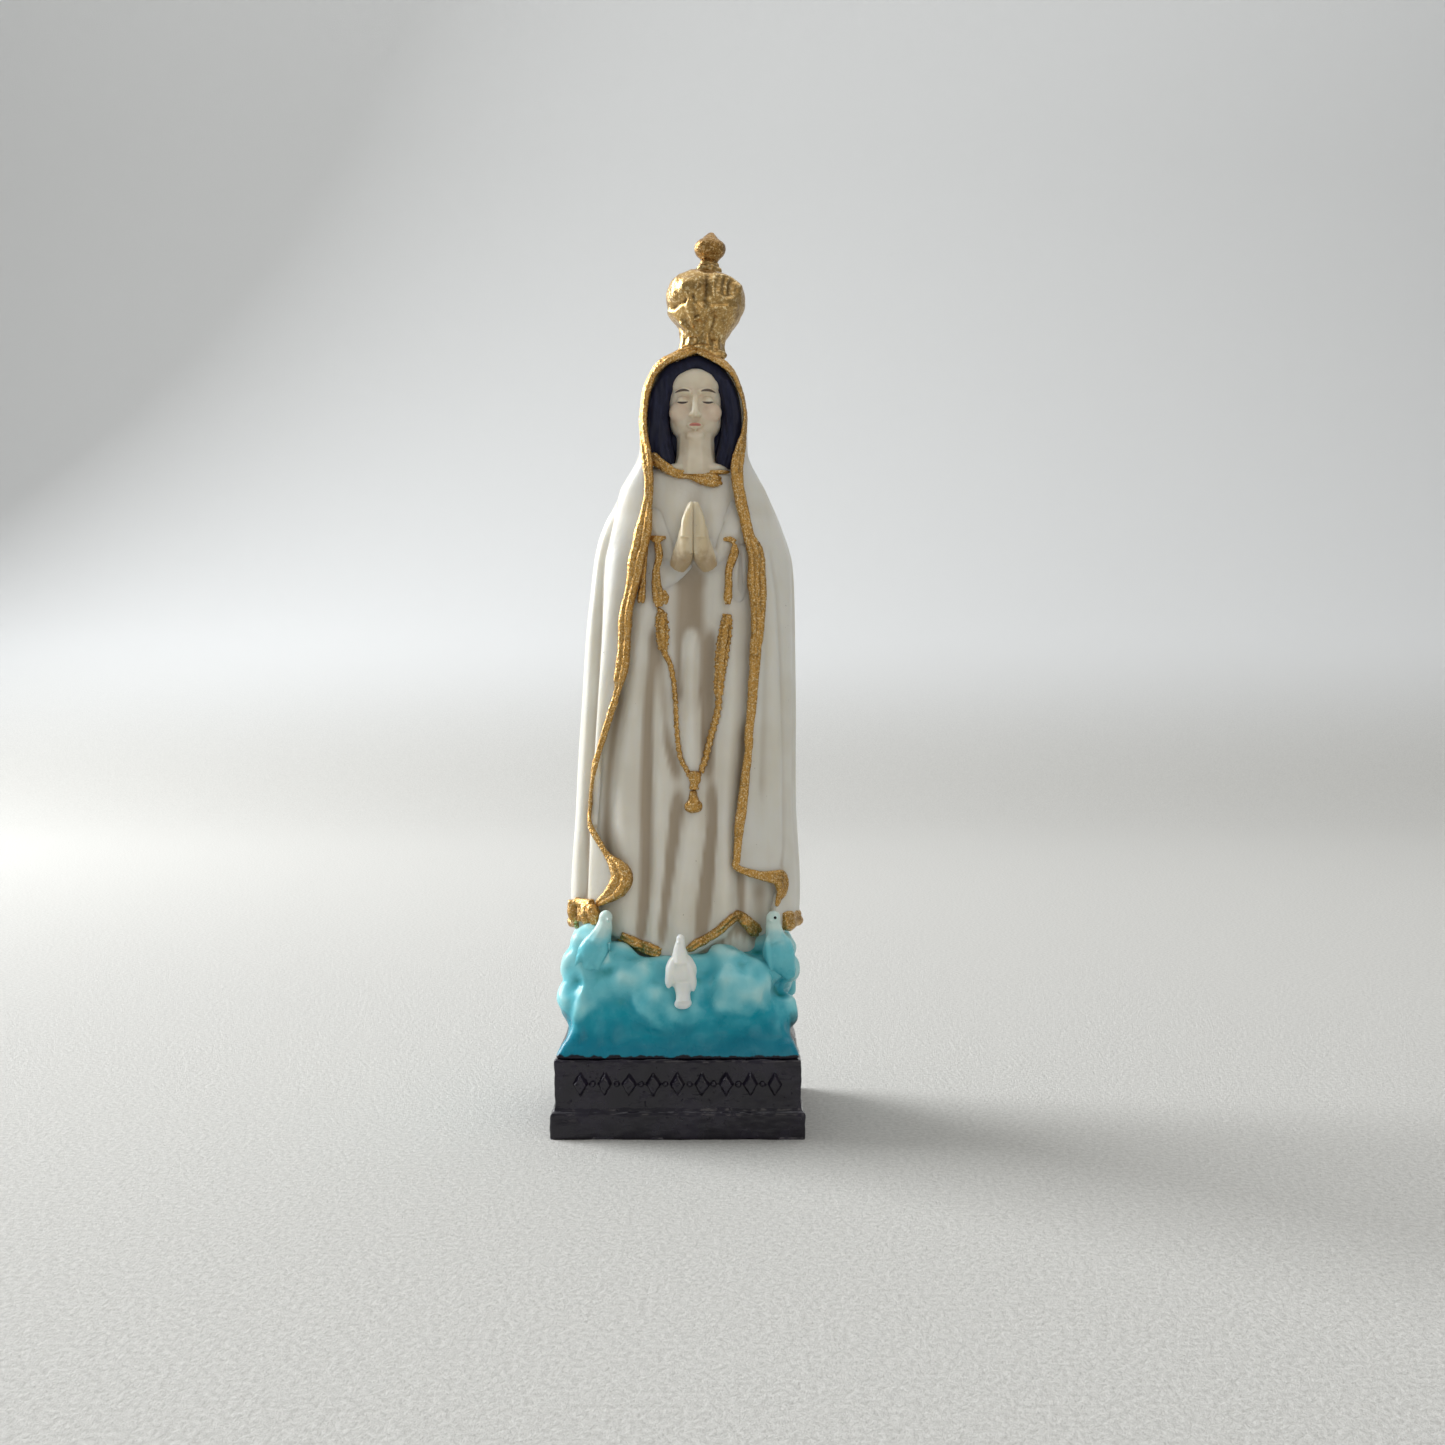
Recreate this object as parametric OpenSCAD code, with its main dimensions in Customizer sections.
// Standing madonna figurine on a stepped plinth, hands joined, crowned, with three doves in the cloud
// at its feet. Millimetres, +Z up, the figure faces -Y, the origin is the middle of the plinth's underside.

/* [Plinth] */
// Width of the ledge at the foot of the plinth
ledge_w = 27.2; // [25:0.1:32]
// Depth of the ledge at the foot of the plinth
ledge_d = 23; // [21:0.1:27]
// Height of the ledge
ledge_h = 2.8; // [1.5:0.1:4]
// Height of the whole plinth
plinth_h = 8.4; // [6:0.1:10]
// How far the ledge stands out past the block above it
ledge_step = 0.4; // [0.2:0.1:1]
// Number of plain lozenges in the band on the front
lozenges = 9; // [5:2:13]

/* [Figure] */
// Thickness of the mantle over the body
mantle_wall = 1.1; // [0.8:0.1:1.4]
// Roundness of the body's section, where 2 is an ellipse and more is squarer
section_power = 2.3; // [2:0.1:3]
// Depth of the folds in the front of the tunic
fold_depth = 0.55; // [0:0.05:0.9]
// Number of folds in a full turn round the mantle
mantle_folds = 11; // [7:2:13]
// Depth of those folds, which are cut into the mantle's thickness
mantle_fold_depth = 0.5; // [0:0.05:0.6]

/* [Trim] */
// Half width of the gold edge of the mantle
edge_r = 0.55; // [0.4:0.05:0.7]
// Half width of the gold edge round the tunic's foot
hem_r = 0.6; // [0.4:0.05:0.8]
// Half width of the thin part of the rosary
rosary_r = 0.45; // [0.35:0.05:0.6]
// Half width of the thick part of the rosary, at the hands
rosary_thick_r = 0.8; // [0.6:0.05:0.95]

/* [Crown] */
// Height of the crown from its foot to the tip of the orb
crown_h = 13.75; // [12:0.05:15]
// Largest radius of the crown
crown_r = 4.45; // [4:0.05:5]
// Lean of the crown to the figure's left
crown_lean = 5; // [0:1:8]
// Number of arches in the crown
arches = 8; // [6:2:10]

/* [Hidden] */

ring_points = 48;
foot_z = 15;
hem_z = 21.5;
shoulder_z = 72.8;
veil_top_z = 86.8;
hair_top_z = 85.4;
head_at = [1.5, -0.7, 80.4];
crown_foot = [2.35, 0.3, 86.3];

// Body stations: height, middle in X, half width, depth in front, depth behind
stations = [
  [14, 0.3, 11.2, 7.4, 7.6],
  [23, 0.5, 12.8, 8.0, 8.4],
  [35, 0.6, 12.4, 7.6, 8.0],
  [47, 0.9, 12.0, 7.2, 7.6],
  [56, 1.2, 11.7, 6.9, 7.3],
  [62.5, 1.4, 11.2, 6.6, 7.0],
  [66, 1.3, 10.2, 6.3, 6.7],
  [70.5, 1.4, 8.2, 5.7, 6.2],
  [74, 1.5, 6.3, 5.3, 5.9],
  [78, 1.5, 6.1, 5.2, 5.8],
  [81.5, 1.7, 5.7, 4.8, 5.5],
  [84.6, 2.1, 4.4, 3.9, 4.5],
  [86.1, 2.3, 3.2, 3, 3.3],
  [86.8, 2.35, 2.1, 2, 2.2]
];

// Front edges of the mantle, as height and X, from the foot up to where the veil closes over the brow
left_edge = [
  [23.4, -8.2], [25.4, -6.6], [27.4, -5.2], [29, -6.6], [31, -8.4], [34, -9.5], [40, -8.5],
  [47, -6.8], [52, -5.7], [57, -4.6], [63, -3.3], [68, -2.7], [72, -3.2], [76, -3.6],
  [80, -3.1], [83, -1.3], [85, 2.3]
];
right_edge = [
  [23.8, 11], [26.2, 11.4], [27.2, 9], [28.2, 6.7], [31, 6.3], [36, 6.9], [42, 7.4],
  [50, 8], [58, 8], [63, 7.4], [68, 6.6], [72, 6.2], [76, 6.6], [80, 6.3], [83, 5],
  [85, 2.3]
];

// Smooth curve through a table of [place, value, ...], in the given column
function segment(t, table, i = 0) =
  (i >= len(table) - 2 || t < table[i + 1][0]) ? i : segment(t, table, i + 1);
function curve4(a, b, c, d, s) =
  0.5 * (2 * b + (c - a) * s + (2 * a - 5 * b + 4 * c - d) * s * s
  + (3 * b - a - 3 * c + d) * s * s * s);
function smooth(t, table, column = 1) =
  let (
    i = segment(t, table),
    last = len(table) - 1,
    s = (t - table[i][0]) / (table[i + 1][0] - table[i][0])
  )
  curve4(
    table[max(i - 1, 0)][column], table[i][column], table[i + 1][column],
    table[min(i + 2, last)][column], s
  );

// One signed power, which turns a circle into the body's squarer section
function squared(v, power) = sign(v) * pow(abs(v), 2 / power);

// A point of the body at height z and turn phi, with 270 degrees straight ahead
function body_point(z, phi, inset, dent = 0) =
  let (
    half_w = smooth(z, stations, 2) - inset,
    half_d = smooth(z, stations, sin(phi) < 0 ? 3 : 4) - inset,
    share = 1 - dent / half_d
  )
  [
    smooth(z, stations, 1) + share * half_w * squared(cos(phi), section_power),
    share * half_d * squared(sin(phi), section_power), z
  ];

// Depth of the surface in front of the body at X and height z, less an inset
function front_y(x, z, inset = 0) =
  let (
    half_w = smooth(z, stations, 2) - inset,
    half_d = smooth(z, stations, 3) - inset,
    across = min(abs(x - smooth(z, stations, 1)) / half_w, 0.999)
  )
  -half_d * pow(1 - pow(across, section_power), 1 / section_power);

// Tunic folds: cut only inwards, and only in front, fading out at the chest
function tunic_dent(z, phi) =
  let (
    ahead = max(0, cos(phi - 270)),
    fade = min(1, max(0, (66 - z) / 12))
  )
  fold_depth * fade * ahead * (1 - cos(9 * (phi - 270) + 2 * (z - 40))) / 2;

// Mantle folds: long, cut inwards, at the sides and the back, fading out at the shoulders
function mantle_dent(z, phi) =
  let (
    behind = min(1, max(0, 1.2 + 2 * sin(phi))),
    fade = min(1, max(0, (68 - z) / 16))
  )
  mantle_fold_depth * fade * behind * (1 - cos(mantle_folds * phi + 1.5 * (z - 40))) / 2;

// A closed solid through a list of rings that all have the same number of points
module loft(rings) {
  n = len(rings[0]);
  m = len(rings);
  points = [for (ring = rings) for (p = ring) p];
  bottom = [for (j = [0:n - 1]) j];
  top = [for (j = [n - 1:-1:0]) (m - 1) * n + j];
  sides = [
    for (i = [0:m - 2]) for (j = [0:n - 1])
      for (half = [0, 1])
        let (a = i * n + j, b = i * n + (j + 1) % n, c = a + n, d = b + n)
        half == 0 ? [a, c, b] : [b, c, d]
  ];
  polyhedron(points = points, faces = concat([bottom], sides, [top]), convexity = 6);
}

// Heights of a loft's rings, closer together towards the top, where the outline turns fastest
function ring_heights(z_low, z_high, rings) =
  [for (i = [0:rings]) z_low + (z_high - z_low) * (1 - pow(1 - i / rings, 1.5))];

module body_loft(z_low, z_high, inset, rings) {
  loft([
    for (z = ring_heights(z_low, z_high, rings))
      [for (j = [0:ring_points - 1]) body_point(z, 360 * j / ring_points, inset)]
  ]);
}

// The body inside the mantle and the veil
module core() {
  body_loft(foot_z, hair_top_z, mantle_wall, 18);
}

// A bead chain on a smooth route of [X, Y, Z, radius] points
module chain(route, steps) {
  table = [for (i = [0:len(route) - 1]) concat([i], route[i])];
  function at(t) = [for (column = [1:4]) smooth(t, table, column)];
  for (i = [0:steps - 1]) {
    a = at(i * (len(route) - 1) / steps);
    b = at((i + 1) * (len(route) - 1) / steps);
    hull() {
      translate([a[0], a[1], a[2]]) sphere(r = a[3], $fn = 8);
      translate([b[0], b[1], b[2]]) sphere(r = b[3], $fn = 8);
    }
  }
}

// Points given as [X, Z, radius], laid on the front of the body with part of the bead standing proud
function on_body(points, inset) =
  [for (p = points) [p[0], front_y(p[0], p[1], inset) - 0.35 * p[2], p[1], p[2]]];

// The front opening in the mantle and the steps in its hem, seen from the front
module front_opening() {
  rotate([90, 0, 0])
    linear_extrude(height = 20)
      polygon(concat(
        [for (e = left_edge) [e[1], e[0]]],
        [for (i = [len(right_edge) - 2:-1:0]) [right_edge[i][1], right_edge[i][0]]],
        [[11.8, 20], [16, 12], [-16, 12], [-9.4, 21]]
      ));
}

module plinth() {
  block_w = ledge_w - 2 * ledge_step;
  block_d = ledge_d - 2 * ledge_step;
  color("#221d2b") {
    translate([-ledge_w / 2, -ledge_d / 2, 0]) cube([ledge_w, ledge_d, ledge_h]);
    translate([-block_w / 2, -block_d / 2, ledge_h])
      cube([block_w, block_d, plinth_h - ledge_h]);
  }
}

// Plain raised lozenges and studs on the front of the plinth
module front_ornament() {
  relief = 0.3;
  pitch = (ledge_w - 4) / lozenges;
  face_y = -ledge_d / 2 + ledge_step;
  middle_z = (ledge_h + plinth_h) / 2 + 0.2;
  color("#2b2636")
    translate([0, face_y, middle_z])
      rotate([90, 0, 0])
        linear_extrude(height = relief) {
          for (i = [0:lozenges - 1])
            translate([(i - (lozenges - 1) / 2) * pitch, 0])
              polygon([[-0.9, 0], [0, -1.5], [0.9, 0], [0, 1.5]]);
          for (i = [0:lozenges - 2])
            translate([(i - (lozenges - 2) / 2) * pitch, 0]) circle(r = 0.3, $fn = 24);
        }
}

// Lumps of cloud: X, Y, Z and radius
cloud_lumps = [
  [-9.2, -6.6, 13.8, 3.8], [-4.1, -7.1, 14.2, 3.9], [0.6, -7.5, 12.2, 3.6],
  [6.2, -6.9, 14, 4.1], [10, -6.4, 12.8, 3.3], [-9.8, -0.6, 15.6, 3.5],
  [-9.4, 5.4, 14.4, 3.8], [9.8, 0.2, 15.4, 3.5], [9.5, 5.6, 14.2, 3.8],
  [-4.7, 7, 14.6, 4], [0.2, 7.3, 15.6, 3.8], [5, 7, 14.4, 4],
  [-9.6, -3.2, 18.6, 2.6], [-8.4, 4.4, 18.6, 2.7], [9.9, -1.6, 18.4, 2.7],
  [8.6, 4.8, 18.4, 2.7], [-3.6, 7, 18.8, 2.6], [3.8, 7, 18.6, 2.6]
];

module cloud_mound() {
  foot = [ledge_w / 2 - ledge_step - 0.05, ledge_d / 2 - ledge_step - 0.05];
  tiers = [[0, 0, 0], [0.6, 0.9, 0.7], [2.4, 2.6, 2.2], [6, 3.4, 3], [8.4, 5, 4]];
  for (i = [0:len(tiers) - 2])
    hull()
      for (tier = [tiers[i], tiers[i + 1]])
        translate([0, 0, plinth_h + tier[0]])
          linear_extrude(height = 0.01)
            square([2 * (foot[0] - tier[1]), 2 * (foot[1] - tier[2])], center = true);
}

module cloud_bank() {
  color("#49aeb9")
    difference() {
      union() {
        cloud_mound();
        for (c = cloud_lumps)
          hull() {
            translate([c[0], c[1], c[2]]) sphere(r = c[3], $fn = 12);
            translate([0.8 * c[0], 0.8 * c[1], plinth_h + 1.5]) sphere(r = 1, $fn = 8);
          }
      }
      core();
      dove_left_shape();
      dove_centre_shape();
      dove_right_shape();
      mantle();
      mantle_hem_trim();
      tunic_hem_trim_left();
      tunic_hem_trim_right();
    }
}

module tunic() {
  rings = 22;
  color("#e6e3da")
    loft([
      for (i = [0:rings])
        let (z = foot_z + (shoulder_z - foot_z) * i / rings)
        [
          for (j = [0:ring_points - 1])
            let (phi = 360 * j / ring_points)
            body_point(z, phi, mantle_wall + 0.01, tunic_dent(z, phi))
        ]
    ]);
}

module mantle() {
  rings = 24;
  color("#edeae1")
    difference() {
      loft([
        for (z = ring_heights(hem_z, veil_top_z, rings))
          [
            for (j = [0:ring_points - 1])
              let (phi = 360 * j / ring_points)
              body_point(z, phi, 0, mantle_dent(z, phi))
          ]
      ]);
      core();
      front_opening();
    }
}

module head_shape() {
  face = [3.5, 4.6, 4.9];
  translate(head_at) scale(face) sphere(r = 1, $fn = 20);
  // jaw and chin
  hull() {
    translate(head_at + [0, -2, -1.9]) scale([2.8, 2, 2]) sphere(r = 1, $fn = 12);
    translate(head_at + [0, -3, -3.9]) scale([1.3, 1, 0.9]) sphere(r = 1, $fn = 12);
  }
  // brow, nose and lips
  hull() {
    translate(head_at + [0, -3.7, 1.2]) scale([2.2, 0.9, 1]) sphere(r = 1, $fn = 12);
    translate(head_at + [0, -3.2, 2.6]) scale([1.8, 0.9, 1]) sphere(r = 1, $fn = 12);
  }
  hull() {
    translate(head_at + [0, -4.2, 0.4]) sphere(r = 0.35, $fn = 8);
    translate(head_at + [0, -4.7, -1.3]) sphere(r = 0.45, $fn = 8);
  }
  hull()
    for (side = [-0.5, 0.5])
      translate(head_at + [side, -4, -2.4]) sphere(r = 0.3, $fn = 8);
  // cheeks
  for (side = [-1, 1])
    hull() {
      translate(head_at + [side * 1.4, -3.6, 0.3]) sphere(r = 0.6, $fn = 8);
      translate(head_at + [side * 1.8, -3.1, -1.2]) sphere(r = 0.8, $fn = 8);
    }
  // neck, and the skin that spreads from it above the collar
  hull() {
    translate([head_at[0], -2.2, shoulder_z - 0.5]) cylinder(r = 2.4, h = 0.1, $fn = 16);
    translate(head_at + [0, -1.4, -3]) cylinder(r = 2.2, h = 0.1, $fn = 16);
  }
  hull() {
    translate([head_at[0], -1.9, shoulder_z - 0.5])
      scale([1.5, 1, 1]) cylinder(r = 2.3, h = 0.1, $fn = 16);
    translate([head_at[0], -2.1, shoulder_z + 1]) cylinder(r = 2.2, h = 0.1, $fn = 16);
  }
}

module head() {
  color("#d9d0bd")
    difference() {
      head_shape();
      translate([-10, -10, shoulder_z - 10]) cube([20, 20, 10]);
      mantle();
    }
}

// Hair fills the veil behind the face, is parted over the brow and falls beside the neck
module hair() {
  color("#1c1d2e")
    difference() {
      intersection() {
        core();
        translate([-10, -10, shoulder_z]) cube([20, 20, 20]);
        union() {
          translate([-10, -3.2, shoulder_z]) cube([20, 20, 20]);
          for (side = [-1, 1])
            chain([
              [head_at[0] + side * 0.4, -3.2, 84, 0.9],
              [head_at[0] + side * 2.6, -3.4, 81.8, 0.95],
              [head_at[0] + side * 3.7, -2.7, 78, 1],
              [head_at[0] + side * 3.6, -2.9, 73.4, 1]
            ], 6);
        }
      }
      head_shape();
    }
}

// Gold pieces are cut to the surfaces that they lie on
module gold_on_body(points, steps) {
  color("#b58a3c")
    difference() {
      chain(on_body(points, mantle_wall), steps);
      core();
      children();
    }
}

module gold_on_mantle(points, steps) {
  color("#b58a3c")
    difference() {
      chain(on_body(points, 0), steps);
      core();
      mantle();
    }
}

// How far a height lies inside the wide stretch of a trim, from 1 in its middle to 0 at its ends
function wide_stretch(z, middle, reach) = max(0, 1 - abs(z - middle) / reach);

module mantle_trim_left() {
  gold_on_mantle([
    for (edge = left_edge)
      let (wide = max(wide_stretch(edge[0], 60, 9), wide_stretch(edge[0], 27, 3)))
      [edge[1] - 0.3 - 0.3 * wide, edge[0], edge_r * (1 + 0.6 * wide)]
  ], 34);
}

module mantle_trim_right() {
  gold_on_mantle([
    for (edge = right_edge)
      let (wide = max(wide_stretch(edge[0], 57, 9), wide_stretch(edge[0], 26, 2)))
      [
        edge[1] + (edge[0] < 27.5 ? 0 : 0.3) + 0.3 * wide_stretch(edge[0], 57, 9),
        edge[0] + (edge[1] > 8.5 ? 0.3 : 0), edge_r * (1 + 0.6 * wide)
      ]
  ], 34);
}

// The hem of the mantle, from its left front corner round the back to its right front corner
module mantle_hem_trim() {
  steps = 26;
  color("#b58a3c")
    difference() {
      for (i = [0:steps - 1])
        hull()
          for (k = [i, i + 1])
            translate(body_point(22, -32 + 256 * k / steps, 0.35)) sphere(r = hem_r, $fn = 8);
      core();
      mantle();
      mantle_trim_left();
      mantle_trim_right();
    }
}

module collar_trim() {
  gold_on_body([
    [-2.6, 73.6, 0.6], [-1.6, 72.4, 0.6], [-0.2, 71.8, 0.55], [1.5, 71.6, 0.6],
    [3.1, 71.2, 0.6], [4.4, 71.6, 0.5], [5.4, 72.2, 0.4]
  ], 12) {
    head_shape();
    mantle();
    mantle_trim_left();
    mantle_trim_right();
  }
}

// One praying hand: a palm and four fingers pointing up, its thumb laid along the back
module hand_shape(side) {
  palm_y = -7.3;
  translate([head_at[0], palm_y, 0])
    difference() {
      union() {
        hull() {
          translate([side * 0.6, 0.5, 62.7]) scale([0.75, 1.6, 1.1]) sphere(r = 1, $fn = 12);
          translate([side * 0.45, 0, 65.2]) scale([0.6, 1.3, 1]) sphere(r = 1, $fn = 12);
        }
        for (f = [0:3])
          chain([
            [side * 0.45, 0.62 * f - 0.95, 65, 0.46],
            [side * 0.42, 0.6 * f - 0.95, 66.2, 0.43],
            [side * 0.28, 0.5 * f - 0.85, 67.8 - 0.3 * abs(f - 1.3), 0.34]
          ], 2);
        chain([
          [side * 1.1, 0.9, 63.2, 0.4], [side * 0.9, 1.1, 64.6, 0.38],
          [side * 0.6, 1.2, 65.8, 0.3]
        ], 2);
      }
      translate([side > 0 ? -9.99 : -0.01, -8, 55]) cube([10, 16, 20]);
    }
}

module hand(side) {
  color("#e0d6bd")
    difference() {
      hand_shape(side);
      core();
    }
}

// The sleeve runs from the edge of the mantle to the wrist, and its wide cuff hangs below
module sleeve(side) {
  out_x = side < 0 ? -2.9 : 6.4;
  color("#e9e6de")
    difference() {
      intersection() {
        front_opening();
        union() {
          chain([
            [out_x, -4.5, 66.6, 1.7], [out_x - side * 0.6, -5.2, 64.8, 1.7],
            [head_at[0] + side * 2.4, -5.7, 63.6, 1.5], [head_at[0] + side * 1.4, -6, 62.8, 1.3]
          ], 7);
          chain([
            [out_x, -5.5, 63.6, 1], [out_x, -5.5, 60.6, 1], [out_x - side * 0.1, -5.5, 57.8, 0.7]
          ], 5);
        }
      }
      core();
      mantle();
      mantle_trim_left();
      mantle_trim_right();
      hand_shape(side);
      hand_shape(-side);
    }
}

module cuff_trim_left() {
  color("#b58a3c")
    difference() {
      union() {
        chain([
          [-2.4, -6.6, 64.2, 0.45], [-2.9, -6.3, 61.4, 0.4], [-3.2, -6, 58.4, 0.4],
          [-2.9, -6, 57, 0.4]
        ], 7);
        chain([
          [-1.9, -6.6, 64.2, 0.5], [-1.9, -6.3, 61.4, 0.45], [-1.9, -6.1, 58.8, 0.5],
          [-1.3, -6, 57.4, 0.5], [-2.1, -6, 56.5, 0.6]
        ], 8);
      }
      core();
      mantle();
      mantle_trim_left();
      sleeve(-1);
    }
}

module cuff_trim_right() {
  color("#b58a3c")
    difference() {
      chain([
        [5, -6.5, 64.2, 0.6], [5.9, -6.4, 63, 0.6], [5.5, -6.2, 60.4, 0.5],
        [5.3, -6, 58, 0.5], [5.2, -5.9, 57.1, 0.55]
      ], 10);
      core();
      mantle();
      mantle_trim_right();
      sleeve(1);
    }
}

module tunic_hem_trim_left() {
  gold_on_body([
    [-6.8, 20.8, hem_r], [-5.4, 20.2, hem_r], [-3.9, 19.6, hem_r], [-2.2, 19, hem_r]
  ], 8);
}

module tunic_hem_trim_right() {
  gold_on_body([
    [1.3, 19.2, hem_r], [2.9, 20.1, hem_r], [5, 21.4, hem_r], [6.3, 22.9, hem_r],
    [7.5, 22, hem_r], [8.8, 21, hem_r]
  ], 12);
}

// The rosary hangs from the hands in two strands that meet at a centrepiece with a drop below
module rosary_strand_left() {
  gold_on_body([
    [-1.7, 55.8, rosary_thick_r], [-1.7, 54.2, rosary_thick_r], [-1.5, 52.2, 0.6],
    [-0.8, 49, rosary_r], [-0.4, 46, rosary_r], [-0.1, 43, rosary_r],
    [0.5, 40.4, rosary_r], [1.1, 39.2, rosary_r]
  ], 18) {
    cuff_trim_left();
    centrepiece_shape();
  }
}

module rosary_strand_right() {
  gold_on_body([
    [5.4, 55.4, rosary_thick_r], [5, 52.2, rosary_thick_r], [4.4, 49, 0.7],
    [4.2, 46.6, 0.6], [3.7, 43.4, 0.55], [3.2, 41.4, 0.55], [2.6, 39.6, 0.5],
    [2.15, 39, 0.45]
  ], 18) {
    cuff_trim_right();
    centrepiece_shape();
    rosary_strand_left();
  }
}

module centrepiece_shape() {
  chain(on_body([
    [1.6, 38.9, 0.6], [1.6, 38.2, 0.7], [1.55, 37.4, 0.65], [1.5, 36.8, 0.5]
  ], mantle_wall), 8);
}

module rosary_centrepiece() {
  color("#b58a3c")
    difference() {
      centrepiece_shape();
      core();
    }
}

module rosary_pendant() {
  gold_on_body([
    [1.5, 36.4, 0.45], [1.5, 35.6, 0.8], [1.5, 34.9, 1], [1.5, 34.5, 0.8]
  ], 9) centrepiece_shape();
}

// The crown stands on its own leaning axis
module on_crown() {
  translate(crown_foot) rotate([0, crown_lean, 0]) children();
}

// Outline of the crown from the band up, as radius and height
crown_outline = [
  [2.7, 1.9], [3.05, 2.8], [3.75, 3.9], [4.25, 4.9], [4.45, 5.9], [4.35, 6.9],
  [3.9, 7.9], [3.1, 8.6], [2, 8.9]
];

function crown_profile(grow) = concat(
  [[0, 1.9]],
  [for (p = crown_outline) [p[0] * crown_r / 4.45 + grow, p[1] + (p[1] > 8 ? grow / 2 : 0)]],
  [[0, 8.9 + grow / 2]]
);

module crown_band() {
  color("#b58a3c")
    on_crown()
      rotate_extrude($fn = 48)
        polygon([[0, 0.55], [2.7, 0.55], [2.85, 0.9], [2.85, 1.4], [2.7, 1.9], [0, 1.9]]);
}

module crown_bulb() {
  color("#b58a3c")
    on_crown() {
      rotate_extrude($fn = 48) polygon(crown_profile(0));
      for (i = [0:arches - 1])
        rotate([0, 0, 360 * i / arches])
          rotate([90, 0, 0])
            linear_extrude(height = 0.8, center = true)
              intersection() {
                polygon(crown_profile(0.3));
                translate([0.5, 2.3]) square([6, 7]);
              }
    }
}

module crown_collar() {
  color("#b58a3c")
    on_crown()
      rotate_extrude($fn = 48)
        polygon([
          [0, 9.05], [1.35, 9.05], [1.6, 9.3], [1.6, 9.6], [1.4, 9.85], [1.1, 10],
          [1.1, 10.3], [0, 10.3]
        ]);
}

module crown_orb() {
  orb_h = crown_h - 10.3;
  steps = 10;
  color("#a87c42")
    on_crown()
      translate([0, 0, 10.3])
        rotate_extrude($fn = 48)
          polygon(concat(
            [[0, 0]],
            [
              for (i = [0:steps])
                let (t = i / steps)
                [1.1 * (1 - t) + 2.6 * pow(t * (1 - t), 0.75) * (1 - 0.35 * t), orb_h * t]
            ]
          ));
}

// A resting dove in its own frame: standing along +Z with its back to -Y and its head at the top
module dove_shape(size) {
  scale(size) {
    hull() {
      translate([0, 0.1, 0.6]) scale([1.5, 1, 1.3]) sphere(r = 1, $fn = 12);
      translate([0, 0.1, -1.5]) scale([0.95, 0.8, 1.1]) sphere(r = 1, $fn = 12);
    }
    hull() {
      translate([0, 0, 1.3]) scale([1, 0.9, 0.8]) sphere(r = 1, $fn = 10);
      translate([0, -0.1, 2.5]) sphere(r = 0.56, $fn = 10);
    }
    hull() {
      translate([0, -0.1, 2.5]) sphere(r = 0.56, $fn = 10);
      translate([0, -0.15, 2.95]) sphere(r = 0.44, $fn = 10);
    }
    for (side = [-1, 1])
      hull() {
        translate([side * 0.95, -0.25, 0.7]) sphere(r = 0.6, $fn = 8);
        translate([side * 0.7, -0.3, -1.9]) sphere(r = 0.4, $fn = 8);
      }
    hull() {
      translate([0, 0.1, -1.8]) sphere(r = 0.7, $fn = 8);
      translate([0, 0, -3.3]) scale([1.7, 0.9, 1]) sphere(r = 0.4, $fn = 8);
    }
  }
}

module dove_centre_shape() {
  translate([0.35, -9.7, 17]) rotate([-12, -3, 0]) dove_shape(1.14);
}

module dove_left_shape() {
  translate([-8.8, -7.2, 19.9]) rotate([-8, 18, -30]) dove_shape(1.12);
}

module dove_right_shape() {
  translate([10.7, -5.9, 19.6]) rotate([-8, -10, 32]) dove_shape(1.12);
}

// Each dove is cut to what it rests against, and the cloud is cut to the dove
module dove() {
  color("#dfe5e2")
    difference() {
      children();
      core();
      mantle();
      mantle_trim_left();
      mantle_trim_right();
      mantle_hem_trim();
      tunic_hem_trim_left();
      tunic_hem_trim_right();
    }
}

plinth();
front_ornament();
cloud_bank();
tunic();
mantle();
head();
hair();
collar_trim();
hand(-1);  // hand_left
hand(1);  // hand_right
sleeve(-1);  // sleeve_left
sleeve(1);  // sleeve_right
cuff_trim_left();
cuff_trim_right();
mantle_trim_left();
mantle_trim_right();
mantle_hem_trim();
tunic_hem_trim_left();
tunic_hem_trim_right();
rosary_strand_left();
rosary_strand_right();
rosary_centrepiece();
rosary_pendant();
crown_band();
crown_bulb();
crown_collar();
crown_orb();
dove() dove_left_shape();  // dove_left
dove() dove_centre_shape();  // dove_centre
dove() dove_right_shape();  // dove_right
